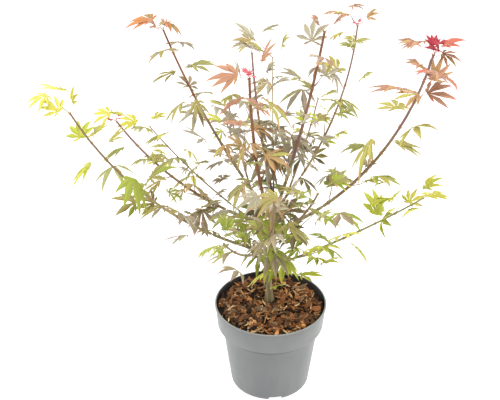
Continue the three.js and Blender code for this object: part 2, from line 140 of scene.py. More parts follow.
# Bark: its reliefs, as pairs of a grain and a depth, the heights between which the trunk's bark
# goes from olive to brown, and how dark and how light a bough's patches are beside its tint
TRUNK_RELIEFS = ((7 * MM, 0.9 * MM), (1.8 * MM, 0.35 * MM))
BOUGH_RELIEFS = ((4 * MM, 0.4 * MM),)
BARK_CHANGE = (170 * MM, 300 * MM)
BOUGH_SHADES = (0.72, 1.22)
BOUGH_BLOOM = 6
BARK_SMOOTH_ANGLE = math.radians(80)

# Shoots, twigs and stalks: radii from foot to tip, swellings, and how finely they are made
SHOOT_STEPS = 16
SHOOT_RADII = (2.5 * MM, 1.4 * MM)
TWIG_RADII = (1.5 * MM, 0.7 * MM)
FORK_RADII = (1.0 * MM, 0.8 * MM, 0.6 * MM)
FINE_RADII = (0.8 * MM, 0.7 * MM, 0.5 * MM)
STALK_RADII = (0.52 * MM, 0.38 * MM)
STALK_BOW = (-0.06, 0.12)
TWIG_LENGTH_LIMIT = 160 * MM
BOUGH_SHORTEST = 15 * MM
BOUGH_SIDES = 10
BOUGH_RINGS = 7
BOUGH_SMOOTHING = 2
BOUGH_SWELL_PLACE = 0.45
BOUGH_SWELLS = (1.7, 1.25)
STEM_SIDES = 8
STEM_RINGS = 30
TWIG_SIDES = 6
STALK_SIDES = 4
STALK_RINGS = 4
NODE_SWELL = 1.45
NODE_NEAR = 0.5
NODE_REACH = 1.5 * MM

# Growth rule of the part's source: pairs of leaves, and side twigs
DICE_START = (7919, 13)
DICE_STEP = (1664525, 1013904223)
DICE_RANGE = 2**32
DICE_WARM_UP = 3
FORK_SEED_STEP = 500
FORK_SPIN = (60, 120)
FORK_LENGTH = (0.9, 1.4)
FORK_LEAF_SHARE = 0.8
FORK_YOUTH = 0.2
FORK_AHEAD = 0.8
FORK_RISE = (0.25, 0.3)
PAIR_START = 0.02
PAIR_WANDER = 0.2
PAIR_TURN = 90
PAIR_TWIST = 15
YOUNG_PAIRS = 3
YOUNG_SHRINK = 0.25
YOUNG_LIFT = 45
LEAF_SIZES = (0.8, 1.2)
LEAF_SWING = 50
LEAF_DROOP = (-48, 50)
LEAF_ROLL = 42
STALK_LENGTHS = (0.5, 0.85)
STALK_AHEAD = (0.3, 0.8)
STALK_RISE = 0.25
LEAF_FLOOR = POT_HEIGHT + 4 * MM
LEAF_REACH = 115 * MM
LEAF_ARCH = 0.13

# Leaf: its lobes from the middle one out, each with a bearing, a reach and a half width as shares
# of the leaf's length; its clefts, each with a bearing and its share of the cleft's reach; the
# other half of both is their mirror image; and along a lobe, from cleft to tip, places of its edge
# with their share of its width
HALF_LOBES = [(0, 1.0, 0.12), (39, 0.92, 0.115), (79, 0.68, 0.09), (118, 0.36, 0.05)]
HALF_CLEFTS = [(19.5, 1.0), (59, 0.95), (99, 0.75), (152, 0.25)]
LOBES = [(-bearing, *shares) for bearing, *shares in HALF_LOBES[:0:-1]] + HALF_LOBES
CLEFTS = [(-bearing, share) for bearing, share in HALF_CLEFTS[::-1]] + HALF_CLEFTS
MIDDLE_BREADTH = HALF_LOBES[0][2]
LOBE_STATIONS = ((0.13, 0.48), (0.43, 1.0), (0.73, 0.56))
LEAF_THICKNESS = 0.45 * MM
CLEFT_REACHES = (0.1, 0.21)
CLEFT_LIFT = 0.4
LOBE_BREADTHS = (0.88, 1.2)
BROAD_HEIGHTS = (470 * MM, 180 * MM)
BROAD_CHANGE = 0.4
LEAF_GROWTH = (1.02, 1.26)
INNER_GROWTH = 0.8
LOBE_SWING = 6
LOBE_STRETCH = (0.85, 1.08)
LOBE_BEND = (-0.08, 0.2)
LOBE_BELLY = (-0.25, 0.5)
LOBE_CLOSE = (0.64, 1.02)
LEAF_FOLD = (0.15, 0.55)
LEAF_CUP = (0.0, 0.45)
LEAF_SAG = (0.0, 0.4)
YOUNG_FOLD = 0.3
YOUNG_CLOSE = 0.25

# Finer growth than the part's own: short twigs at the joints, each with a pair of smaller leaves,
# a tuft of tiny new leaves at some tips, and a scar and two buds at each joint. The chance of a
# short twig goes from the shoot's foot to its tip
FINE_SEED_STEP = 900
FINE_CHANCE = (0.48, 0.22)
FINE_SECOND = 0.4
FINE_SPIN = 90
FINE_LENGTH = (0.3, 0.9)
FINE_LEAF = (0.5, 0.8)
TUFT_SEED_STEP = 1300
TUFT_AHEAD = 2 * MM
TUFT_LEAF = (0.85, 1.15)
TUFT_TURNS = (90, 45)
BUD_LENGTH = 3.0 * MM
BUD_RADII = (0.55 * MM, 0.8 * MM, 0.12 * MM)
BUD_LEAN = 0.45
BUD_INSET = 0.6
BUD_WIDEST = 0.4

# How the tints are dealt out to the leaves, and how dark the painted shade on half a lobe is
LOOK_SEED_STEP = 77
OTHER_TINT = 0.3
OTHER_LOBE = 0.25
REDDER_CHANCE = 0.32
SHADE = 0.91

# One shoot: the numbers of the part's source, the seeds of its finer growth and of how its leaves
# are held, its girth, the bark and the leaf tints from foot to tip, the tint of the tuft at its
# tip, how long the outermost leaves are beside the rest, and how long the tuft's leaves are
Shoot = namedtuple("Shoot", "name height azimuth turn rise lift length bare pairs leaf forks seed "
                            "look pose girth bark tints tuft tip new", defaults=("", 1.0, 0.2))
SHOOTS = [
    Shoot("left_low", 257, -166, 0, 22, 43, 423, 0.26, 7, 49, (), 369, 4244, 3985, 1.1,
          "olive olive brown",
          "grey_bronze olive fresh_green fresh_green olive_lime lime lime_yellow"),
    Shoot("left_mid", 307, 168, 2, 12, 43, 308, 0.26, 6, 45, (), 838, 3422, 2833, 1.1,
          "olive brown purple",
          "grey_bronze bronze olive leaf_green olive_lime lime_yellow", "crimson"),
    Shoot("left_back", 296, 144, 0, 15, 21, 282, 0.3, 5, 42, (), 974, 1791, 1927, 0.7,
          "olive olive brown", "grey_bronze olive lime_yellow olive_lime lime_yellow"),
    Shoot("left_high", 323, 154, -3, 47, 18, 348, 0.24, 7, 46, (0,), 601, 960, 258, 1.1,
          "olive brown red", "grey_bronze grey_olive grey_bronze olive olive bronze orange",
          "salmon", 1.2, 0.36),
    Shoot("front_upright", 314, -109, 1, 53, 31, 324, 0.24, 6, 50, (0,), 657, 4687, 3883, 1.3,
          "olive red red", "bronze olive tan_orange olive_lime tan_orange salmon", "pink"),
    Shoot("leader", 352, 160, 0, 76, 10, 253, 0.22, 5, 44, (0, 1), 659, 2375, 1718, 0.95,
          "dark brown purple", "dark_olive grey_olive dark_olive grey_olive grey_olive"),
    Shoot("right_steep", 332, -40, 0, 71, 9, 338, 0.22, 6, 44, (0,), 947, 1190, 4928, 1.25,
          "olive purple red", "dark_olive grey_olive olive grey_olive grey_olive purple_brown"),
    Shoot("right_high", 339, 44, -4, 27, 59, 335, 0.22, 6, 44, (0, 1), 165, 1757, 3325, 0.9,
          "olive brown purple", "dark_olive olive lime olive_lime olive_lime tan_orange", "pink"),
    Shoot("right_mid", 297, -19, 7, 31, 48, 416, 0.26, 8, 50, (), 457, 3151, 559, 1.25,
          "olive brown purple",
          "grey_bronze fresh_green olive_lime olive_lime olive_lime tan_orange salmon coral",
          "crimson", 1.1, 0.48),
    Shoot("right_low", 227, 10, 0, 16, 13, 281, 0.26, 5, 45, (), 469, 4255, 4507, 0.95,
          "olive green green", "fresh_green lime lime lime lime_yellow", tip=1.3),
    Shoot("front_mid", 288, -90, 0, 25, 35, 262, 0.26, 4, 46, (), 255, 3497, 4165, 1.0,
          "olive brown brown", "fresh_green olive grey_bronze grey_olive"),
    Shoot("front_left", 268, -110, 0, 17, 30, 240, 0.26, 4, 46, (), 833, 2693, 4976, 1.0,
          "brown olive brown", "fresh_green grey_bronze fresh_green fresh_green"),
    Shoot("front_right", 302, -68, 0, 28, 30, 225, 0.26, 4, 46, (), 784, 4739, 3307, 1.0,
          "olive brown brown", "dark_olive leaf_green olive fresh_green"),
    Shoot("back_right", 303, 68, 0, 17, 30, 268, 0.26, 4, 46, (), 605, 938, 4936, 0.9,
          "olive brown purple", "dark_olive olive lime olive_lime"),
    Shoot("back_left", 283, 108, 0, 17, 30, 267, 0.26, 4, 46, (), 584, 4226, 3818, 0.9,
          "olive brown brown", "dark_olive grey_bronze lime olive"),
    Shoot("back_mid", 328, 90, 0, 26, 30, 290, 0.26, 4, 46, (), 435, 3485, 3034, 0.65,
          "dark olive olive", "dark_olive grey_olive bronze olive_lime", tip=1.15),
    Shoot("right_front", 246, -47, 0, 20, 25, 150, 0.3, 3, 46, (), 266, 2792, 4986, 1.0,
          "olive green green", "lime fresh_green lime"),
    Shoot("front_low", 234, -72, 0, 12, 15, 78, 0.3, 2, 40, (), 103, 7608, 1257, 1.0,
          "olive green green", "lime lime"),
    Shoot("left_foot", 227, -134, 0, 47, 14, 128, 0.35, 3, 42, (), 394, 6678, 1501, 1.1,
          "dark brown brown", "fresh_green fresh_green leaf_green"),
    Shoot("inner_left", 243, 175, 0, 25, 20, 95, 0.1, 2, 44, (), 555, 4164, 124, 1.0,
          "olive green green", "leaf_green olive"),
    Shoot("inner_right", 268, 5, 0, 30, 20, 95, 0.1, 2, 44, (), 944, 646, 2434, 1.0,
          "olive green green", "dark_olive fresh_green"),
    Shoot("inner_back", 250, 85, 0, 25, 20, 110, 0.1, 3, 44, (), 580, 404, 3308, 1.0,
          "olive green green", "leaf_green dark_olive leaf_green"),
]

# Leaf tints, as red, green and blue from 0 to 255, each with the tint of the leaf's lower side and
# the tint that redder tips take
LEAF_TINTS = {
    "lime_yellow": ((203, 197, 86), "lime_yellow", "tan_orange"),
    "lime": ((178, 184, 64), "lime_yellow", "olive_lime"),
    "fresh_green": ((150, 160, 62), "under_green", "olive_lime"),
    "leaf_green": ((136, 144, 70), "under_green", "bronze"),
    "olive_lime": ((176, 168, 88), "under_green", "tan_orange"),
    "olive": ((158, 148, 86), "under_green", "tan_orange"),
    "dark_olive": ((122, 112, 78), "under_bronze", "bronze"),
    "grey_olive": ((169, 161, 135), "under_bronze", "purple_brown"),
    "grey_bronze": ((156, 141, 112), "under_bronze", "purple_brown"),
    "bronze": ((164, 143, 96), "under_bronze", "tan_orange"),
    "purple_brown": ((166, 138, 118), "under_rose", "salmon"),
    "tan_orange": ((180, 146, 98), "under_rose", "orange"),
    "orange": ((190, 128, 78), "under_rose", "coral"),
    "salmon": ((183, 137, 108), "under_rose", "coral"),
    "coral": ((200, 108, 86), "under_rose", "crimson"),
    "crimson": ((184, 72, 84), "crimson", "crimson"),
    "pink": ((214, 116, 124), "pink", "crimson"),
}
UNDER_TINTS = {
    "under_green": (178, 178, 112),
    "under_bronze": (175, 165, 142),
    "under_rose": (196, 148, 122),
}
GREEN_TINTS = ("lime_yellow", "lime", "fresh_green", "leaf_green", "olive_lime")
STALK_TINTS = {
    "green_stalk": (186, 180, 110),
    "red_stalk": (184, 140, 116),
}
BARK_TINTS = {
    "green_bark": (140, 140, 86),
    "olive_bark": (140, 128, 90),
    "brown_bark": (130, 106, 80),
    "purple_bark": (136, 104, 96),
    "red_bark": (128, 84, 58),
    "dark_bark": (84, 68, 54),
    "scar": (140, 104, 70),
    "bud": (156, 94, 60),
}

# Chip tints, each with the tint that a broken edge may show
CHIP_TINTS = {
    "black": ((36, 27, 21), "umber"),
    "dark": ((54, 39, 29), "brown"),
    "umber": ((98, 70, 49), "russet"),
    "brown": ((137, 93, 60), "tan"),
    "russet": ((160, 103, 62), "tan"),
    "grey": ((138, 114, 90), "dark"),
    "tan": ((212, 166, 116), "brown"),
    "orange": ((224, 158, 94), "pale"),
    "pale": ((242, 212, 166), "tan"),
}

# Kinds of chips: name, count, then lengths, widths, thicknesses and how far they lie above the bed
# in millimetres, the sides of their outline, and tints
CHIP_KINDS = (
    ("bark_crumbs", 420, (2, 6), (1.6, 4), (1, 2.5), (-4, -0.5), 5,
     "dark umber brown russet tan orange"),
    ("bark_chips", 430, (11, 27), (6, 13), (1.4, 3.2), (-2.5, 3), 7,
     "black dark umber umber brown brown russet grey"),
    ("bark_slivers", 520, (10, 26), (1.5, 3.6), (0.8, 1.6), (-2, 4), 5,
     "tan orange pale brown russet umber dark"),
    ("bark_blocks", 40, (8, 13), (6, 9), (3, 5.5), (0, 3.5), 6,
     "tan orange russet orange brown"),
)

# Camera, floor and lights: each lamp has a name, a place, a size and a power
CAMERA_PLACE = (-35.0 * MM, -1308.7 * MM, 1103.7 * MM)
CAMERA_PITCH = 29.657
CAMERA_LENS = 67.846
CAMERA_RANGE = (0.05, 50)
SENSOR_WIDTH = 36
FLOOR_SIZE = 60.0
FLOOR_TINT = (200, 200, 200)
FLOOR_GLOW = 0.85
WORLD_LIGHT = 0.58
LAMPS = (
    ("left_light", (-2.3, 0.3, 1.2), 1.6, 30.0),
    ("right_light", (2.3, 0.3, 1.2), 1.6, 37.0),
    ("top_light", (0, -0.7, 2.6), 1.2, 56.0),
)
LAMP_AIM = (0, 0, 0.3)


# Small helpers

def dice(seed):
    """Seeded chance, as in the part's source: each roll gives a number from low to high."""
    state = [seed * DICE_START[0] + DICE_START[1]]

    def roll(low, high):
        state[0] = (state[0] * DICE_STEP[0] + DICE_STEP[1]) % DICE_RANGE
        return low + (high - low) * state[0] / DICE_RANGE

    for _ in range(DICE_WARM_UP):
        roll(0, 1)
    return roll


def mix(low, high, share):
    return low + (high - low) * share


def turned(vector, axis, degrees):
    return Quaternion(axis, math.radians(degrees)) @ vector


def aim(azimuth, rise):
    a, e = math.radians(azimuth), math.radians(rise)
    return Vector((math.cos(e) * math.cos(a), math.cos(e) * math.sin(a), math.sin(e)))


def linear(colour):
    """A colour from 0 to 255 as seen on a screen, in the linear numbers that a shader takes."""
    shares = [c / 255 for c in colour]
    return tuple(c / 12.92 if c <= 0.04045 else ((c + 0.055) / 1.055) ** 2.4 for c in shares) + (1,)


# Finishes

def new_finish(name, roughness):
    """A new finish and its shader."""
    finish = bpy.data.materials.new(name)
    finish.use_nodes = True
    shader = finish.node_tree.nodes["Principled BSDF"]
    shader.inputs["Roughness"].default_value = roughness
    return finish, shader


def plain_finish(name, colour, roughness, shine, glow=0):
    """One even colour, for the floor and for pieces joined from many small shapes."""
    finish, shader = new_finish(name, roughness)
    shader.inputs["Base Color"].default_value = linear(colour)
    shader.inputs["Specular IOR Level"].default_value = shine
    shader.inputs["Emission Strength"].default_value = glow
    return finish


def plain_finishes(start, tints, roughness, shine):
    return {name: plain_finish(start + name, colour, roughness, shine)
            for name, colour in tints.items()}


def leaf_finishes():
    """A finish for each tint of a leaf and its stalk. The upper side has each tint twice, the
    second time darker as painted shade, for the half of a lobe that turns from the light."""
    upper = {name: colour for name, (colour, _, _) in LEAF_TINTS.items()}
    # Painted shade: darker copies of the upper tints, for one half of each lobe
    shaded = {name + "_shade": [c * SHADE for c in colour] for name, colour in upper.items()}
    tints = {**upper, **shaded, **UNDER_TINTS, **STALK_TINTS}
    return plain_finishes("leaf_", tints, roughness=0.6, shine=0.3)


class Pattern:
    """A finish with a pattern, put together from nodes that read Object coordinates."""

    def __init__(self, name, roughness):
        self.finish, self.shader = new_finish(name, roughness)
        self.tree = self.finish.node_tree
        self.place = self.node("TexCoord", {}).outputs["Object"]

    def node(self, kind, inputs, **settings):
        made = self.tree.nodes.new("ShaderNode" + kind)
        for name, value in settings.items():
            setattr(made, name, value)
        self.feed(made, inputs)
        return made

    def feed(self, node, inputs):
        """Gives a node its inputs, each a number, a vector or the output of another node."""
        for name, value in inputs.items():
            if isinstance(value, bpy.types.NodeSocket):
                self.tree.links.new(value, node.inputs[name])
            else:
                node.inputs[name].default_value = value

    def stretched(self, scale):
        """Object coordinates stretched along each axis."""
        return self.node("Mapping", {"Vector": self.place, "Scale": scale}).outputs["Vector"]

    def noise(self, scale, detail=4, place=None):
        inputs = {"Vector": place or self.place, "Scale": scale, "Detail": detail}
        return self.node("TexNoise", inputs).outputs["Fac"]

    def spots(self, scale, place=None):
        inputs = {"Vector": place or self.place, "Scale": scale}
        return self.node("TexVoronoi", inputs).outputs["Distance"]

    def height(self, low, high):
        """0 at one height and 1 at another."""
        split = self.node("SeparateXYZ", {"Vector": self.place})
        inputs = {"Value": split.outputs["Z"], "From Min": low, "From Max": high}
        return self.node("MapRange", inputs).outputs["Result"]

    def ramp(self, value, stops):
        """Colours along a value: pairs of a place from 0 to 1 and a colour."""
        node = self.node("ValToRGB", {"Fac": value})
        marks = node.color_ramp.elements
        while len(marks) < len(stops):
            marks.new(0.5)
        for mark, (place, colour) in zip(marks, stops):
            mark.position = place
            mark.color = linear(colour)
        return node.outputs["Color"]

    def blend(self, share, first, second):
        node = self.node("Mix", {"Factor": share, "A": first, "B": second}, data_type="RGBA")
        return next(o for o in node.outputs if o.type == "RGBA")

    def colour(self, output):
        self.feed(self.shader, {"Base Color": output})

    def roughness(self, value, low, high):
        node = self.node("MapRange", {"Value": value, "To Min": low, "To Max": high})
        self.feed(self.shader, {"Roughness": node.outputs["Result"]})

    def bump(self, value, strength, depth):
        node = self.node("Bump", {"Height": value, "Strength": strength, "Distance": depth})
        self.feed(self.shader, {"Normal": node.outputs["Normal"]})


def pot_plastic():
    """Satin grey moulded plastic, faintly clouded, with fine drag marks down the wall, painted
    shade in the crease under the collar and a painted highlight along the lip."""
    made = Pattern("pot_plastic", roughness=0.4)
    clouds = made.noise(scale=22, detail=3)
    drags = made.noise(scale=34, detail=2, place=made.stretched((1, 1, 0.08)))
    base = made.ramp(clouds, [(0.35, (105, 108, 109)), (0.65, (112, 114, 114))])
    marked = made.ramp(drags, [(0.4, (102, 105, 106)), (0.62, (114, 115, 113))])
    wall = made.blend(made.noise(scale=9, detail=1), base, marked)
    # Painted shade: a darker band on the wall just under the collar, where the crease lies in shade
    crease_shade = made.ramp(clouds, [(0.3, (56, 58, 59)), (0.7, (70, 70, 68))])
    near = made.height(COLLAR_BOTTOM - CREASE_SHADE_REACH, COLLAR_BOTTOM)
    crease = made.ramp(near, [(0.0, (0, 0, 0)), (0.3, (110, 110, 110)), (0.45, (255, 255, 255)),
                              (0.98, (255, 255, 255)), (1.0, (0, 0, 0))])
    # Painted highlight: a lighter band along the top of the lip
    lip_highlight = made.ramp(clouds, [(0.3, (146, 148, 148)), (0.7, (160, 161, 160))])
    lip = made.ramp(made.height(POT_HEIGHT - LIP_HEIGHT, POT_HEIGHT),
                    [(0.55, (0, 0, 0)), (0.9, (255, 255, 255))])
    made.colour(made.blend(lip, made.blend(crease, wall, crease_shade), lip_highlight))
    made.roughness(made.noise(scale=140, detail=3), low=0.32, high=0.46)
    made.bump(made.noise(scale=900, detail=2), strength=0.12, depth=0.1 * MM)
    return made.finish


def pot_inside_dark():
    """A darker finish for the inner faces of the pot's wall."""
    made = Pattern("pot_inside_dark", roughness=0.6)
    made.colour(made.ramp(made.noise(scale=50), [(0.3, (46, 46, 48)), (0.7, (64, 63, 63))]))
    return made.finish


def soil_finish():
    made = Pattern("potting_soil", roughness=0.95)
    made.colour(made.ramp(made.noise(scale=260), [(0.3, (26, 18, 12)), (0.7, (62, 46, 34))]))
    made.bump(made.noise(scale=420), strength=0.6, depth=1 * MM)
    return made.finish


def mulch_finish():
    """Dark crumbled bark between and under the chips, made darker still as painted shade for the
    gaps between them.
    """
    made = Pattern("mulch_bed", roughness=0.95)
    crumbs = made.spots(scale=300)
    # Partly painted shade: the bed is darker than crumbled bark alone, for the shaded gaps between
    # chips
    made.colour(made.ramp(crumbs, [(0.15, (66, 44, 30)), (0.5, (40, 27, 19)), (0.8, (22, 15, 11))]))
    made.bump(made.noise(scale=380), strength=0.8, depth=1.5 * MM)
    return made.finish


def trunk_finish():
    """Smooth young bark: grey olive at the foot, streaked along the trunk, browner to the top."""
    made = Pattern("trunk_bark", roughness=0.75)
    streaks = made.noise(scale=150, detail=5, place=made.stretched((1, 1, 0.12)))
    low = made.ramp(streaks, [(0.35, (92, 82, 58)), (0.52, (136, 124, 88)),
                              (0.68, (168, 158, 122))])
    high = made.ramp(streaks, [(0.35, (86, 66, 50)), (0.52, (126, 102, 72)),
                               (0.68, (152, 134, 100))])
    bark = made.blend(made.height(*BARK_CHANGE), low, high)
    flecks = made.spots(scale=420, place=made.stretched((1, 1, 0.5)))
    pale = made.ramp(flecks, [(0.0, (168, 158, 124)), (0.25, (140, 128, 92))])
    share = made.ramp(flecks, [(0.12, (255, 255, 255)), (0.2, (0, 0, 0))])
    made.colour(made.blend(share, bark, pale))
    ridges = made.noise(scale=700, detail=3, place=made.stretched((1, 1, 0.4)))
    made.bump(ridges, strength=0.4, depth=0.4 * MM)
    return made.finish


def bough_finish(name, colour):
    """Bark of a bough in its tint, with darker and paler patches."""
    made = Pattern("bough_" + name, roughness=0.6)
    dark = tuple(BOUGH_SHADES[0] * c for c in colour)
    light = tuple(min(255, BOUGH_SHADES[1] * c + BOUGH_BLOOM) for c in colour)
    made.colour(made.ramp(made.noise(scale=220), [(0.34, dark), (0.52, colour), (0.72, light)]))
    made.bump(made.noise(scale=900, detail=3), strength=0.3, depth=0.3 * MM)
    return made.finish


# Modelling by hand

def put_down():
    """Leaves nothing selected, so that the next operator acts on the new piece alone."""
    bpy.ops.object.select_all(action="DESELECT")


def pick_up(made):
    """Leaves that piece alone selected, for the next operator to act on."""
    put_down()
    made.select_set(True)
    bpy.context.view_layer.objects.active = made


def add_object(name, data):
    """Puts a mesh, a lamp or a camera into the scene."""
    made = bpy.data.objects.new(name, data)
    bpy.context.scene.collection.objects.link(made)
    return made


def name_piece(made, name):
    made.name = name
    made.data.name = name
    return made


def apply_place(made):
    pick_up(made)
    bpy.ops.object.transform_apply(location=True, rotation=True, scale=True)


def apply_modifier(made, kind, **settings):
    pick_up(made)
    modifier = made.modifiers.new(kind.lower(), kind)
    for key, value in settings.items():
        setattr(modifier, key, value)
    bpy.ops.object.modifier_apply(modifier=modifier.name)


def smooth_by_angle(made, angle=SMOOTH_ANGLE):
    pick_up(made)
    bpy.ops.object.shade_smooth_by_angle(angle=angle)


def roughen(made, grain, depth, **settings):
    """Raises and sinks the surface by a cloudy relief of that grain and depth."""
    relief = bpy.data.textures.new(made.name + "_relief", "CLOUDS")
    relief.noise_scale = grain
    apply_modifier(made, "DISPLACE", texture=relief, texture_coords="LOCAL", strength=depth,
                   mid_level=0.5, **settings)
    bpy.data.textures.remove(relief)


def start_disc(name, sides, radius, **place):
    """A disc, open for editing, for a form to be drawn out of."""
    put_down()
    bpy.ops.mesh.primitive_circle_add(vertices=sides, radius=radius, fill_type="NGON", **place)
    made = name_piece(bpy.context.object, name)
    bpy.ops.object.mode_set(mode="EDIT")
    bpy.ops.mesh.select_all(action="SELECT")
    return made


def end_form(made):
    """Ends the editing of a form: its faces point out, and its place is in its mesh."""
    bpy.ops.mesh.select_all(action="SELECT")
    bpy.ops.mesh.normals_make_consistent(inside=False)
    bpy.ops.object.mode_set(mode="OBJECT")
    apply_place(made)
    return made


def draw_out(name, profile, sides):
    """A turned form: a disc whose edge is drawn out through a profile of (radius, height)."""
    radius, height = profile[0]
    made = start_disc(name, sides, radius, location=(0, 0, height))
    bpy.ops.mesh.region_to_loop()
    for (before, low), (after, high) in zip(profile, profile[1:]):
        bpy.ops.mesh.extrude_edges_move(TRANSFORM_OT_translate={"value": (0, 0, high - low)})
        ratio = after / before
        bpy.ops.transform.resize(value=(ratio, ratio, 1), center_override=(0, 0, high))
    bpy.ops.mesh.edge_face_add()
    return end_form(made)


def draw_limb(name, line, radii, sides):
    """A limb: a disc square to its whole run, drawn out from point to point of its line."""
    run = (line[-1] - line[0]).to_track_quat("Z", "Y").to_euler()
    made = start_disc(name, sides, radii[0], location=line[0], rotation=run)
    for i in range(1, len(line)):
        bpy.ops.mesh.extrude_region_move(TRANSFORM_OT_translate={"value": line[i] - line[i - 1]})
        ratio = radii[i] / radii[i - 1]
        bpy.ops.transform.resize(value=(ratio, ratio, ratio), center_override=line[i])
    return end_form(made)


def hand_in(made, slot, *nodes):
    """The piece rides on the plant's one body and stands for those nodes."""
    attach(made, "root")
    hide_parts(*nodes)


# Pot and filling

def wall_radius(height):
    """Radius of the pot's outer face at a height, from its foot to its collar."""
    return mix(FOOT_RADIUS, BODY_TOP_RADIUS, height / COLLAR_BOTTOM)


def inner_radius(height):
    """Radius of the pot's inner face at a height above its floor."""
    if height < COLLAR_BOTTOM:
        return wall_radius(height) - POT_WALL
    share = (height - COLLAR_BOTTOM) / (POT_HEIGHT - COLLAR_BOTTOM)
    return mix(COLLAR_RADIUS, RIM_RADIUS - LIP_WIDTH + POT_WALL, share) - POT_WALL


def nursery_pot():
    lip_bottom = POT_HEIGHT - LIP_HEIGHT
    ledge = COLLAR_BOTTOM + POT_WALL
    floor = BASE_LIFT + POT_WALL
    profile = [
        (FOOT_RADIUS - FOOT_RING - FOOT_RING_SLANT, BASE_LIFT),
        (FOOT_RADIUS - FOOT_RING, FOOT_RING_BEVEL[1]),
        (FOOT_RADIUS - FOOT_RING + FOOT_RING_BEVEL[0], 0),
        (FOOT_RADIUS - FOOT_ROUNDING, 0),
    ]
    for degrees in FOOT_ARC:
        a = math.radians(degrees)
        profile.append((FOOT_RADIUS - FOOT_ROUNDING * (1 - math.sin(a)),
                        FOOT_ROUNDING * (1 - math.cos(a))))
    profile += [(wall_radius(height), height) for height in WALL_RINGS]
    profile += [
        (BODY_TOP_RADIUS - CREASE_DIP[0], COLLAR_BOTTOM - CREASE_DIP[1]),
        (BODY_TOP_RADIUS + CREASE_FILLET, COLLAR_BOTTOM),
        (COLLAR_RADIUS - COLLAR_BEVEL[0], COLLAR_BOTTOM),
        (COLLAR_RADIUS, COLLAR_BOTTOM + COLLAR_BEVEL[1]),
        (RIM_RADIUS - LIP_OVERHANG, lip_bottom),
        (RIM_RADIUS, lip_bottom + LIP_STEP),
    ]
    profile += [(RIM_RADIUS - inset, POT_HEIGHT - depth) for inset, depth in LIP_CORNER]
    profile += [
        (RIM_RADIUS - LIP_WIDTH, POT_HEIGHT),
        (inner_radius(POT_HEIGHT), lip_bottom),
        (inner_radius(ledge), ledge),
        (BODY_TOP_RADIUS - POT_WALL, ledge),
        (inner_radius(floor), floor),
    ]
    made = draw_out("nursery_pot", profile, POT_SIDES)
    for k in range(NOTCH_COUNT):
        cut_notch(made, NOTCH_TURN + 360 / NOTCH_COUNT * k)
    darken_inside(made)
    smooth_by_angle(made)
    hand_in(made, "pot", "pot")


def cut_notch(made, bearing):
    """A drain notch cut up from the foot, with rounded upper corners."""
    put_down()
    a = math.radians(bearing)
    bpy.ops.mesh.primitive_cube_add(
        size=1, location=(FOOT_RADIUS * math.cos(a), FOOT_RADIUS * math.sin(a), 0),
        rotation=(0, 0, a), scale=(2 * NOTCH_DEPTH, NOTCH_WIDTH, 2 * NOTCH_HEIGHT))
    cutter = name_piece(bpy.context.object, "notch_cutter")
    apply_place(cutter)
    apply_modifier(cutter, "BEVEL", width=NOTCH_ROUNDING, segments=NOTCH_ARC_STEPS,
                   limit_method="ANGLE")
    apply_modifier(made, "BOOLEAN", operation="DIFFERENCE", solver="EXACT", object=cutter)
    bpy.data.objects.remove(cutter)


def darken_inside(made):
    """Gives the inner faces below the lip, and those facing up inside, the darker inside finish."""
    made.data.materials.append(pot_plastic())
    made.data.materials.append(pot_inside_dark())
    for face in made.data.polygons:
        x, y, z = face.center
        inward = x * face.normal.x + y * face.normal.y < 0
        within = BASE_LIFT < z < POT_HEIGHT - INSIDE_MARGIN
        within = within and math.hypot(x, y) < RIM_RADIUS - LIP_WIDTH
        face.material_index = 1 if within and (inward or face.normal.z > FACING_UP) else 0


def potting_soil():
    """The root ball, under the mulch."""
    bottom = BASE_LIFT + POT_WALL + FLOOR_PLAY
    ledge = COLLAR_BOTTOM + POT_WALL
    made = draw_out("potting_soil_ball", [
        (inner_radius(bottom) - WALL_PLAY, bottom),
        (BODY_TOP_RADIUS - POT_WALL - WALL_PLAY, ledge + LEDGE_PLAY),
        (inner_radius(ledge) - WALL_PLAY, ledge + WALL_PLAY),
        (inner_radius(SOIL_TOP) - WALL_PLAY, SOIL_TOP),
    ], POT_SIDES)
    made.data.materials.append(soil_finish())
    smooth_by_angle(made)
    hand_in(made, "soil", "potting_soil")


def mulch_height(radius):
    share = radius / inner_radius(MULCH_EDGE)
    return MULCH_EDGE + MULCH_CROWNING * (1 - share * share)


def mulch_bed():
    """The dark bed under the chips, drawn in ring by ring from the wall to the middle."""
    edge = inner_radius(SOIL_TOP) - MULCH_PLAY
    profile = [(edge, SOIL_TOP + MULCH_PLAY)]
    for ring in range(MULCH_RINGS):
        radius = edge * (1 - ring / MULCH_RINGS)
        profile.append((radius, mulch_height(radius) - MULCH_SINK))
    made = draw_out("mulch_bed", profile, POT_SIDES)
    top = made.vertex_groups.new(name="top")
    raised = [v.index for v in made.data.vertices if v.co.z > SOIL_TOP + MULCH_SKIRT
              and math.hypot(v.co.x, v.co.y) < edge - MULCH_BORDER]
    top.add(raised, 1.0, "REPLACE")
    roughen(made, *MULCH_RELIEF, direction="Z", vertex_group="top")
    made.data.materials.append(mulch_finish())
    smooth_by_angle(made)
    hand_in(made, "mulch", "bark_mulch")


# Trunk and boughs

def trunk_at(height):
    upper = next(i for i, row in enumerate(TRUNK) if row[2] * MM >= height)
    low, high = TRUNK[max(upper - 1, 0)], TRUNK[upper]
    share = (height / MM - low[2]) / (high[2] - low[2])
    return Vector((mix(low[0], high[0], share) * MM, mix(low[1], high[1], share) * MM, height))


def bark_over(made, smoothing, reliefs, finish):
    """Smooths a limb and gives it the relief and the finish of bark."""
    apply_modifier(made, "SUBSURF", levels=smoothing, render_levels=smoothing)
    for grain, depth in reliefs:
        roughen(made, grain, depth)
    made.data.materials.append(finish)


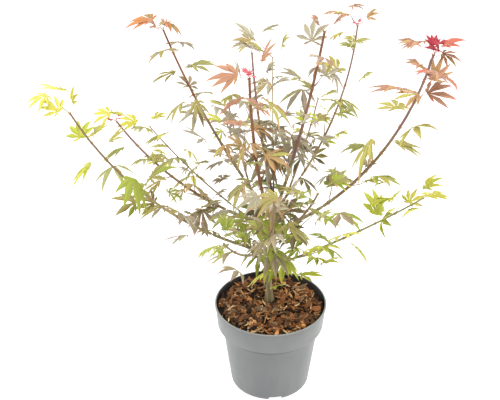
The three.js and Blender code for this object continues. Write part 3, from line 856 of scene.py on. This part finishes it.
def bark_trunk():
    """The trunk, with roots that flare at its foot and the swollen ring above them."""
    line = [Vector(row[:3]) * MM for row in TRUNK]
    radii = [row[3] * MM for row in TRUNK]
    made = draw_limb("trunk_bark", line, radii, TRUNK_SIDES)
    for bearing in FLARE_BEARINGS:
        flare_root(made, bearing)
    bark_over(made, TRUNK_SMOOTHING, TRUNK_RELIEFS, trunk_finish())
    smooth_by_angle(made, BARK_SMOOTH_ANGLE)
    hand_in(made, "bark", "trunk")


def flare_root(made, bearing):
    """Pulls the foot outwards at a bearing, the more the nearer it is to the ground."""
    foot = Vector(TRUNK[0][:3]) * MM
    for low, high, pull in FLARE_STEPS:
        for vertex in made.data.vertices:
            away = vertex.co - foot
            apart = math.degrees(math.atan2(away.y, away.x)) - bearing
            apart = abs((apart + 180) % 360 - 180)
            vertex.select = low <= vertex.co.z < high and apart < FLARE_SPREAD
        for edge in made.data.edges:
            edge.select = all(made.data.vertices[i].select for i in edge.vertices)
        for face in made.data.polygons:
            face.select = False
        if any(vertex.select for vertex in made.data.vertices):
            pick_up(made)
            bpy.ops.object.mode_set(mode="EDIT")
            bpy.ops.transform.translate(value=aim(bearing, 0) * (FLARE_REACH * pull))
            bpy.ops.object.mode_set(mode="OBJECT")


def barks(shoot):
    """The shoot's barks from foot to tip."""
    return [name + "_bark" for name in shoot.bark.split()]


def is_long(shoot):
    return shoot.length * MM > TWIG_LENGTH_LIMIT


def has_bough(shoot):
    return shoot.bare * shoot.length * MM > BOUGH_SHORTEST


def shoot_line(shoot):
    points = [trunk_at(shoot.height * MM)]
    for i in range(SHOOT_STEPS):
        t = (i + 0.5) / SHOOT_STEPS
        heading = aim(shoot.azimuth + shoot.turn * t, shoot.rise + shoot.lift * t)
        points.append(points[i] + heading * (shoot.length * MM / SHOOT_STEPS))
    return points


def along(points, share):
    """Point and heading at a share of a line's length."""
    place = min(max(share, 0), 1) * (len(points) - 1)
    i = min(int(place), len(points) - 2)
    step = points[i + 1] - points[i]
    return points[i] + step * (place - i), step.normalized()


def thickness(shoot, share):
    thick = SHOOT_RADII if is_long(shoot) else TWIG_RADII
    return mix(*thick, share) * shoot.girth


def bough(shoot, finish):
    """The bare foot of a shoot, swollen where it leaves the trunk."""
    points = shoot_line(shoot)
    shares = [shoot.bare * i / BOUGH_RINGS for i in range(BOUGH_RINGS + 1)]
    line = [along(points, share)[0] for share in shares]
    radii = [thickness(shoot, share) for share in shares]
    line.insert(1, line[0] + (line[1] - line[0]) * BOUGH_SWELL_PLACE)
    radii.insert(1, radii[0] * BOUGH_SWELLS[1])
    radii[0] *= BOUGH_SWELLS[0]
    made = draw_limb("bough_" + shoot.name + "_bark", line, radii, BOUGH_SIDES)
    bark_over(made, BOUGH_SMOOTHING, BOUGH_RELIEFS, finish)
    return made


def bark_boughs():
    """All the boughs, as one mesh."""
    shoots = [shoot for shoot in SHOOTS if has_bough(shoot)]
    used = sorted({barks(shoot)[0] for shoot in shoots})
    finishes = {name: bough_finish(name, BARK_TINTS[name]) for name in used}
    boughs = [bough(shoot, finishes[barks(shoot)[0]]) for shoot in shoots]
    pick_up(boughs[0])
    for other in boughs[1:]:
        other.select_set(True)
    bpy.ops.object.join()
    made = name_piece(boughs[0], "bough_bark")
    smooth_by_angle(made, BARK_SMOOTH_ANGLE)
    hand_in(made, "bark", *["bough_" + shoot.name for shoot in shoots])


# Growth rule, as in the part's source

def leaf_plan(roll, joint, heading, side, size, youth):
    """One leaf, worked out from its joint on a stem, the stem's heading and the leaf's side."""
    length = size * roll(*LEAF_SIZES)
    stalk = length * roll(*STALK_LENGTHS)
    out = side + heading * roll(*STALK_AHEAD)
    out = (out + UP * STALK_RISE).normalized()
    ahead = turned(Vector((out.x, out.y, 0)).normalized(), UP, roll(-LEAF_SWING, LEAF_SWING))
    droop = math.radians(roll(*LEAF_DROOP) - YOUNG_LIFT * youth)
    rib = ahead * math.cos(droop) - UP * math.sin(droop)
    face = (UP - rib * rib.z).normalized()
    face = turned(face, rib, roll(-LEAF_ROLL, LEAF_ROLL))
    return {"joint": joint, "end": joint + out * stalk, "rib": rib, "face": face,
            "length": length, "youth": youth}


def leaf_pair(roll, joint, heading, spin, size, youth):
    """The two leaves at a joint, one on each side of the stem."""
    across = heading.cross(UP).normalized()
    return [leaf_plan(roll, joint, heading, turned(across, heading, turn), size, youth)
            for turn in (spin, spin + 180)]


def side_twig(shoot, point, heading, spin, roll, size, lengths):
    """A side twig from a joint of the stem, with a pair of leaves at its tip."""
    across = heading.cross(UP).normalized()
    side = turned(across, heading, spin + roll(*FORK_SPIN))
    start = (side + heading * FORK_AHEAD + UP * FORK_RISE[0]).normalized()
    half = shoot.leaf * MM * roll(*lengths) / 2
    finish = (start + UP * FORK_RISE[1]).normalized()
    middle = point + start * half
    tip = middle + finish * half
    leaves = leaf_pair(roll, tip, finish, roll(0, 180), size, FORK_YOUTH)
    return [point, middle, tip], leaves


def growth(shoot):
    """Where the joints, leaves and side twigs of a shoot are, each pair of leaves square to the
    last. A leaf comes with the number of its pair."""
    roll = dice(shoot.seed)
    pose = dice(shoot.pose)
    points = shoot_line(shoot)
    grown = {"joints": [], "leaves": [], "twigs": []}
    spin = roll(0, 180)
    for k in range(shoot.pairs):
        at_tip = k == shoot.pairs - 1
        wander = 0 if at_tip else PAIR_WANDER + roll(-PAIR_WANDER, PAIR_WANDER)
        place = (k + wander) / (shoot.pairs - 1 + PAIR_WANDER)
        share = 1 if at_tip else mix(shoot.bare + PAIR_START, 1, place)
        point, heading = along(points, share)
        spin += PAIR_TURN + roll(-PAIR_TWIST, PAIR_TWIST)
        young = max(0, 1 - (shoot.pairs - 1 - k) / YOUNG_PAIRS) if is_long(shoot) else 0
        size = shoot.leaf * MM * (1 - YOUNG_SHRINK * young)
        # The source's own pair is rolled too, so that the next joints stay where its solids are
        leaf_pair(roll, point, heading, spin, size, young)
        leaves = leaf_pair(pose, point, heading, spin, size, young)
        if k in shoot.forks:
            fork = dice(shoot.seed + FORK_SEED_STEP + k)
            twig, more = side_twig(shoot, point, heading, spin, fork,
                                   shoot.leaf * MM * FORK_LEAF_SHARE, FORK_LENGTH)
            grown["twigs"].append((twig, FORK_RADII))
            leaves += more
        grown["joints"].append((share, point, heading, spin))
        grown["leaves"] += [(leaf, k) for leaf in leaves]
    return grown


def finer_growth(shoot, grown):
    """Adds up to two short twigs, each with a pair of smaller leaves, at each joint."""
    for k, (_, point, heading, spin) in enumerate(grown["joints"]):
        roll = dice(shoot.look + FINE_SEED_STEP + k)
        first = mix(*FINE_CHANCE, k / (shoot.pairs - 1))
        for chance in (first, first * FINE_SECOND):
            if roll(0, 1) > chance:
                continue
            size = shoot.leaf * MM * roll(*FINE_LEAF)
            turn = spin + roll(-FINE_SPIN, FINE_SPIN)
            twig, leaves = side_twig(shoot, point, heading, turn, roll, size, FINE_LENGTH)
            grown["twigs"].append((twig, FINE_RADII))
            grown["leaves"] += [(leaf, k) for leaf in leaves]


def tip_tuft(shoot, grown):
    """Two pairs of tiny new leaves at the very tip."""
    _, point, heading, spin = grown["joints"][-1]
    roll = dice(shoot.seed + TUFT_SEED_STEP)
    tuft = []
    for turn in TUFT_TURNS:
        size = shoot.leaf * MM * shoot.new * roll(*TUFT_LEAF)
        tuft += leaf_pair(roll, point + heading * TUFT_AHEAD, heading, spin + turn, size, 1.0)
    return tuft


def stays_in_space(plan):
    """Whether a leaf stays above the rim and within reach of its own joint."""
    low = min(plan["end"].z, plan["end"].z + plan["length"] * (plan["rib"].z - LEAF_ARCH))
    tip = plan["end"] + plan["rib"] * plan["length"]
    return low > LEAF_FLOOR and (tip - plan["joint"]).length < LEAF_REACH


# Many small shapes, joined from arrays

class Heap:
    """Small shapes gathered up, each with its tint, to become one joined mesh."""

    def __init__(self):
        self.places, self.faces, self.tints = [], [], []

    def add(self, places, faces, tint):
        """Adds a shape in one tint, or with a list of tints, one for each face."""
        start = len(self.places)
        self.places += [tuple(place) for place in places]
        self.faces += [[start + i for i in face] for face in faces]
        self.tints += [tint] * len(faces) if isinstance(tint, str) else tint

    def piece(self, name, finishes):
        mesh = bpy.data.meshes.new(name)
        mesh.from_pydata(self.places, [], self.faces)
        used = sorted(set(self.tints))
        for tint in used:
            mesh.materials.append(finishes[tint])
        order = {tint: i for i, tint in enumerate(used)}
        mesh.polygons.foreach_set("material_index", [order[tint] for tint in self.tints])
        mesh.update()
        return add_object(name, mesh)


def tube(line, radii, sides):
    """A closed tube along a line of points, with a radius for each point."""
    last = len(line) - 1
    headings = [(line[min(i + 1, last)] - line[max(i - 1, 0)]).normalized()
                for i in range(last + 1)]
    across = headings[0].orthogonal()
    places = []
    for point, heading, radius in zip(line, headings, radii):
        across = (across - heading * across.dot(heading)).normalized()
        over = heading.cross(across)
        for i in range(sides):
            a = 2 * math.pi * i / sides
            places.append(point + (across * math.cos(a) + over * math.sin(a)) * radius)
    faces = [list(range(sides))[::-1]]
    for ring in range(last):
        low, high = ring * sides, (ring + 1) * sides
        for i in range(sides):
            j = (i + 1) % sides
            faces.append([low + i, low + j, high + j, high + i])
    faces.append(list(range(last * sides, (last + 1) * sides)))
    return places, faces


def leaf_form():
    """A leaf laid flat, as corners and faces. Its upper and lower sides share the edge.

    A corner: its kind, the number of its lobe or cleft, its share of the way from the cleft to the
    lobe's tip, its place across the lobe, and its layer. A face: its corners, its layer, the number
    of its lobe, its half of the lobe, and whether it is at the tip. Half a lobe has three faces
    above, or two on the smallest lobes, and one below. Two small faces close the leaf at its stalk.
    """
    corners, faces = [], []

    def corner(*form):
        corners.append(form)
        return len(corners) - 1

    palm = [corner("palm", 0, 0, 0, layer) for layer in (1, -1)]
    clefts = [corner("cleft", number, 0, 0, 0) for number in range(len(CLEFTS))]
    for number in range(len(LOBES)):
        smallest = number in (0, len(LOBES) - 1)
        stations = LOBE_STATIONS[1:2] if smallest else LOBE_STATIONS
        tip = corner("lobe", number, 1, 0, 0)
        upper, lower = [[corner("lobe", number, share, 0, layer) for share, _ in stations[::2]]
                        for layer in (1, -1)]
        for hand, cleft in ((-1, clefts[number]), (1, clefts[number + 1])):
            edge = [corner("lobe", number, share, hand * width, 0) for share, width in stations]
            made = [([palm[0], upper[0], edge[0], cleft], 1, False)]
            if not smallest:
                made.append(([*upper, *edge[::-1]], 1, False))
            made.append(([upper[-1], tip, edge[-1]], 1, True))
            made.append(([palm[1], *lower, tip, *edge[::-1], cleft], -1, False))
            for face, layer, at_tip in made:
                turned_face = face[::-1] if hand * layer < 0 else face
                faces.append((turned_face, layer, number, hand, at_tip))
    faces.append(([clefts[0], *palm], -1, 0, -1, False))
    faces.append(([palm[0], clefts[-1], palm[1]], -1, len(LOBES) - 1, 1, False))
    return corners, faces


LEAF_CORNERS, LEAF_FACES = leaf_form()


def leaf_places(plan, roll):
    """The leaf's corners in place: folded along each lobe's rib, cupped and sagging to its tips."""
    wing = plan["face"].cross(plan["rib"])
    youth = plan["youth"]
    fold = roll(*LEAF_FOLD) + YOUNG_FOLD * youth
    cup = roll(*LEAF_CUP)
    sag = roll(*LEAF_SAG)
    high, low = BROAD_HEIGHTS
    broad = (high - plan["joint"].z) / (high - low) + roll(-BROAD_CHANGE, BROAD_CHANGE)
    broad = min(max(broad, 0), 1)
    cleft_reach = mix(*CLEFT_REACHES, broad)
    breadth = mix(*LOBE_BREADTHS, broad)
    close = roll(*LOBE_CLOSE) * (1 - YOUNG_CLOSE * youth)
    bearings = [bearing * close + roll(-LOBE_SWING, LOBE_SWING) for bearing, _, _ in LOBES]
    reaches = [reach * roll(*LOBE_STRETCH) for _, reach, _ in LOBES]
    bends = [roll(*LOBE_BEND) for _ in LOBES]
    belly = roll(*LOBE_BELLY)
    places = []
    for kind, number, share, side, layer in LEAF_CORNERS:
        reach = bearing = aside = bend = 0
        if kind == "cleft":
            bearing = CLEFTS[number][0] * close
            reach = CLEFTS[number][1] * cleft_reach
        elif kind == "lobe":
            bearing, bend = bearings[number], bends[number]
            near = (CLEFTS[number][1] + CLEFTS[number + 1][1]) / 2 * cleft_reach
            reach = mix(near, reaches[number], share + belly * share * (1 - share))
            aside = side * LOBES[number][2] * breadth
        a = math.radians(bearing)
        ahead = reach * math.cos(a) - aside * math.sin(a)
        across = reach * math.sin(a) + aside * math.cos(a)
        lift = fold * abs(aside) - LEAF_ARCH * reach * reach - cup * across * across
        lift -= bend * reach * reach
        if kind == "cleft":
            lift += fold * MIDDLE_BREADTH * CLEFT_LIFT
        place = plan["rib"] * ahead + wing * across + plan["face"] * lift
        place -= UP * (sag * reach * reach)
        skin = plan["face"] * (layer * LEAF_THICKNESS / 2)
        places.append(plan["end"] + place * plan["length"] + skin)
    return places


def leaf_colours(tint, other, roll):
    """The tint of each face of a leaf. Now and then a lobe has another tint, or the tips are
    redder; one half of each lobe is darker as painted shade, and the lower side has its own tint."""
    lobe_tints = [other if roll(0, 1) < OTHER_LOBE else tint for _ in LOBES]
    redder = roll(0, 1) < REDDER_CHANCE
    tints = []
    for _, layer, number, hand, at_tip in LEAF_FACES:
        own = lobe_tints[number]
        _, under, red = LEAF_TINTS[own]
        if layer < 0:
            tints.append(under)
            continue
        if redder and at_tip:
            own = red
        tints.append(own + "_shade" if hand > 0 else own)
    return tints


def stalk_line(plan, roll):
    """A leaf's stalk: a slight curve from its joint to the blade."""
    start, end = plan["joint"], plan["end"]
    bow = UP * ((end - start).length * roll(*STALK_BOW))
    line = []
    for i in range(STALK_RINGS + 1):
        t = i / STALK_RINGS
        line.append(start.lerp(end, t) + bow * (4 * t * (1 - t)))
    return line


def bud(point, heading, spin, radius):
    """A small pointed bud that lies close to the stem, above the foot of a leaf stalk."""
    out = turned(heading.cross(UP).normalized(), heading, spin)
    foot = point + out * radius * BUD_INSET
    top = foot + (heading + out * BUD_LEAN).normalized() * BUD_LENGTH
    return tube([foot, foot.lerp(top, BUD_WIDEST), top], BUD_RADII, STALK_SIDES)


def stem_shares(shoot, joints):
    """Places of the stem's rings: evenly along it, and close together about each joint."""
    foot = shoot.bare if has_bough(shoot) else 0
    step = NODE_REACH / (shoot.length * MM)
    shares = {foot + (1 - foot) * i / STEM_RINGS for i in range(STEM_RINGS + 1)}
    for joint in joints:
        shares |= {min(1, max(foot, joint + side * step)) for side in (-1, 0, 1)}
    return sorted(shares)


def grow_stem(shoot, grown, finishes):
    """The stem beyond its bough, swollen and scarred at each joint, with its twigs and buds."""
    points = shoot_line(shoot)
    joints = [share for share, _, _, _ in grown["joints"]]
    shares = stem_shares(shoot, joints)
    step = NODE_REACH / (shoot.length * MM)
    radii, near = [], []
    for share in shares:
        apart = min(abs(share - joint) for joint in joints) / step
        near.append(apart < NODE_NEAR)
        radii.append(thickness(shoot, share) * mix(NODE_SWELL, 1, min(apart, 1)))
    places, faces = tube([along(points, share)[0] for share in shares], radii, STEM_SIDES)
    bark = barks(shoot)
    tints = [bark[0]]
    for i, share in enumerate(shares[:-1]):
        own = bark[min(len(bark) - 1, int(len(bark) * share))]
        tints += ["scar" if near[i] or near[i + 1] else own] * STEM_SIDES
    tints.append(bark[-1])
    wood = Heap()
    wood.add(places, faces, tints)
    for twig, thick in grown["twigs"]:
        wood.add(*tube(twig, thick, TWIG_SIDES), bark[1])
    for share, point, heading, spin in grown["joints"]:
        for side in (spin, spin + 180):
            wood.add(*bud(point, heading, side, thickness(shoot, share)), "bud")
    hand_in(wood.piece("stem_" + shoot.name, finishes), "foliage", "foliage_" + shoot.name)


def pick_tint(shoot, k, roll):
    """A leaf's tint, that of its pair or now and then of the next one, and the other of the two."""
    near = min(max(k + (1 if roll(0, 1) < 0.5 else -1), 0), shoot.pairs - 1)
    tints = shoot.tints.split()
    own, other = tints[k], tints[near]
    return (other, own) if roll(0, 1) < OTHER_TINT else (own, other)


def grow_leaves(shoot, grown, finishes):
    """The leaves of a shoot and their stalks."""
    roll = dice(shoot.look + LOOK_SEED_STEP)
    leaves, stalks = Heap(), Heap()
    planned = [(plan, k / (shoot.pairs - 1), *pick_tint(shoot, k, roll))
               for plan, k in grown["leaves"]]
    if shoot.tuft:
        planned += [(plan, 1, shoot.tuft, shoot.tuft) for plan in tip_tuft(shoot, grown)]
    for plan, outward, tint, other in planned:
        if not stays_in_space(plan):
            continue
        plan["length"] *= roll(*LEAF_GROWTH) * mix(INNER_GROWTH, shoot.tip, outward)
        leaves.add(leaf_places(plan, roll), [row[0] for row in LEAF_FACES],
                   leaf_colours(tint, other, roll))
        radii = [mix(*STALK_RADII, i / STALK_RINGS) for i in range(STALK_RINGS + 1)]
        stalk = "green_stalk" if tint in GREEN_TINTS else "red_stalk"
        stalks.add(*tube(stalk_line(plan, roll), radii, STALK_SIDES), stalk)
    node = "foliage_" + shoot.name
    made = leaves.piece("leaves_" + shoot.name, finishes)
    smooth_by_angle(made)
    hand_in(made, "foliage", node)
    hand_in(stalks.piece("stalks_" + shoot.name, finishes), "foliage", node)


# Bark chips

def chip_form(roll, long, wide, thick, sides):
    """A slab of bark with a ragged outline, curled along its length; its lower face is smaller."""
    outline = []
    for i in range(sides):
        a = math.radians((i + roll(*CHIP_WANDER)) * 360 / sides)
        reach = roll(*CHIP_RAGGED) / 2
        outline.append((math.cos(a) * long * reach, math.sin(a) * wide * reach))
    places = []
    for layer, share in ((-0.5, CHIP_UNDERCUT), (0.5, 1.0)):
        for x, y in outline:
            curl = CHIP_CURL * long * (2 * x / long) ** 2
            rise = layer * thick + curl + roll(-CHIP_UNEVEN, CHIP_UNEVEN) * thick
            places.append(Vector((x * share, y * share, rise)))
    faces = [list(range(sides))[::-1], list(range(sides, 2 * sides))]
    for i in range(sides):
        j = (i + 1) % sides
        faces.append([i, j, sides + j, sides + i])
    return places, faces


def chip_colours(roll, tints, sides):
    """One tint for the two faces of a chip, and now and then another one for its broken edge."""
    tint = tints[int(roll(0, len(tints))) % len(tints)]
    edge = CHIP_TINTS[tint][1] if roll(0, 1) < CHIP_EDGE_CHANCE else tint
    return [tint, tint] + [edge] * sides


def bark_chips():
    """Chips, blocks, slivers and crumbs of bark, lying at random on the bed inside the wall."""
    roll = dice(CHIP_SEED)
    tints = {name: colour for name, (colour, _) in CHIP_TINTS.items()}
    finishes = plain_finishes("chip_", tints, roughness=0.85, shine=0.2)
    for name, count, longs, wides, thicks, lifts, sides, own_tints in CHIP_KINDS:
        heap = Heap()
        for _ in range(count):
            long, wide, thick = (roll(*sizes) * MM for sizes in (longs, wides, thicks))
            places, faces = chip_form(roll, long, wide, thick, sides)
            radius = (inner_radius(MULCH_EDGE) - long / 2) * math.sqrt(roll(0, 1))
            middle = aim(roll(0, 360), 0) * radius
            middle.z = mulch_height(radius) + roll(*lifts) * MM
            turn = (Quaternion(UP, math.radians(roll(0, 360)))
                    @ Quaternion((0, 1, 0), math.radians(roll(-CHIP_TIP, CHIP_TIP)))
                    @ Quaternion((1, 0, 0), math.radians(roll(-CHIP_TILT, CHIP_TILT))))
            heap.add([middle + turn @ place for place in places], faces,
                     chip_colours(roll, own_tints.split(), sides))
        hand_in(heap.piece(name, finishes), "mulch", "bark_mulch")


# Floor, lights and camera

def studio():
    """A white floor in even light, with a lamp at each side and one above."""
    put_down()
    bpy.ops.mesh.primitive_plane_add(size=FLOOR_SIZE, location=(0, 0, 0))
    floor = name_piece(bpy.context.object, "floor")
    white = plain_finish("floor_white", FLOOR_TINT, roughness=0.9, shine=0.1, glow=FLOOR_GLOW)
    floor.data.materials.append(white)
    world = bpy.data.worlds.new("studio")
    world.use_nodes = True
    sky = world.node_tree.nodes["Background"]
    sky.inputs["Color"].default_value = (1, 1, 1, 1)
    sky.inputs["Strength"].default_value = WORLD_LIGHT
    bpy.context.scene.world = world
    for name, place, size, power in LAMPS:
        add_lamp(name, Vector(place), size, power)


def add_lamp(name, place, size, power):
    lamp = bpy.data.lights.new(name, "AREA")
    lamp.shape = "SQUARE"
    lamp.size = size
    lamp.energy = power
    made = add_object(name, lamp)
    made.location = place
    made.rotation_euler = (Vector(LAMP_AIM) - place).to_track_quat("-Z", "Y").to_euler()


def camera():
    """The view of the photo."""
    data = bpy.data.cameras.new("camera")
    data.sensor_width = SENSOR_WIDTH
    data.lens = CAMERA_LENS
    data.clip_start, data.clip_end = CAMERA_RANGE
    made = add_object("camera", data)
    made.location = CAMERA_PLACE
    made.rotation_euler = (math.radians(90 - CAMERA_PITCH), 0, 0)
    bpy.context.scene.camera = made
    bpy.context.scene.view_settings.view_transform = "Standard"


camera()
studio()
nursery_pot()
potting_soil()
mulch_bed()
bark_chips()
bark_trunk()
bark_boughs()
leaf_set = leaf_finishes()
bark_set = plain_finishes("stem_", BARK_TINTS, roughness=0.6, shine=0.3)
for shoot in SHOOTS:
    grown = growth(shoot)
    finer_growth(shoot, grown)
    grow_stem(shoot, grown, bark_set)
    grow_leaves(shoot, grown, leaf_set)
